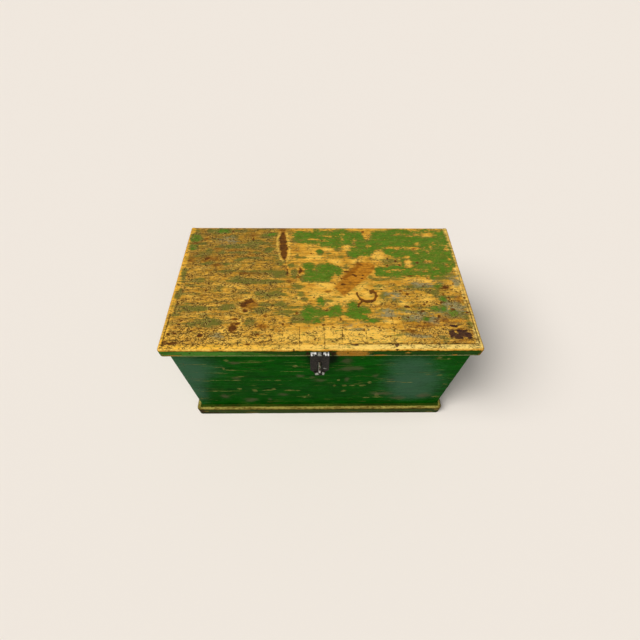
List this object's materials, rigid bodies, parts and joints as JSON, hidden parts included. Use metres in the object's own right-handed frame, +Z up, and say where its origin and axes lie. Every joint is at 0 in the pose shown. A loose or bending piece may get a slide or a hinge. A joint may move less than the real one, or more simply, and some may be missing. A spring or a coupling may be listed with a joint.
{
  "type": "wooden cash box",
  "caption": "Dovetailed wooden cash box on a plinth, with a hinged moulded lid and a slotted hasp over a wire staple for a padlock.",
  "frame": {"origin": "middle of the underside of the bottom board, on the surface that the box stands on", "axes": "+X to the right along the front, +Y towards the hinges at the back, +Z up; the front with the hasp faces -Y"},
  "size_m": [0.432, 0.2542, 0.2223],
  "materials": {
    "green_paint": "old green oil paint on pine, satin, scratched to the ochre under it",
    "lid_paint": "green oil paint worn away to crazed yellow ochre, satin",
    "edge_paint": "green oil paint worn to ochre on the rounded edge, satin",
    "bare_pine": "bare aged pine, matt",
    "dark_iron": "dark rust-browned wrought iron",
    "worn_iron": "iron rubbed bright on its high spots"
  },
  "bodies": {
    "box": {"front_board": "green_paint", "back_board": "green_paint", "left_end_board": "green_paint", "right_end_board": "green_paint", "bottom_board": "bare_pine", "plinth_front": "edge_paint", "plinth_left": "edge_paint", "plinth_right": "edge_paint", "bottom_nails": "dark_iron", "plinth_brads": "dark_iron", "staple": "dark_iron", "hinge_box_leaf_left": "dark_iron", "hinge_box_leaf_right": "dark_iron", "hinge_pin_left": "worn_iron", "hinge_pin_right": "worn_iron", "hinge_box_screws": "dark_iron"},
    "lid": {"lid_board": "lid_paint", "lid_moulding_front": "lid_paint", "lid_moulding_left": "lid_paint", "lid_moulding_right": "lid_paint", "lid_brads": "dark_iron", "hinge_lid_leaf_left": "dark_iron", "hinge_lid_leaf_right": "dark_iron", "hinge_lid_screws": "dark_iron", "hasp_fixed_leaf": "worn_iron", "hasp_screws": "dark_iron", "hasp_pin": "worn_iron"},
    "hasp": {"hasp_leaf": "dark_iron"}
  },
  "joints": [
    {"name": "lid_hinge", "type": "hinge", "parent": "box", "child": "lid", "pos_m": [0, 0.1172, 0.20815], "axis": [-1, 0, 0], "range_deg": [0, 180]},
    {"name": "hasp_hinge", "type": "hinge", "parent": "lid", "child": "hasp", "pos_m": [-0.0025, -0.1241, 0.2153], "axis": [-1, 0, 0], "range_deg": [0, 180]}
  ]
}
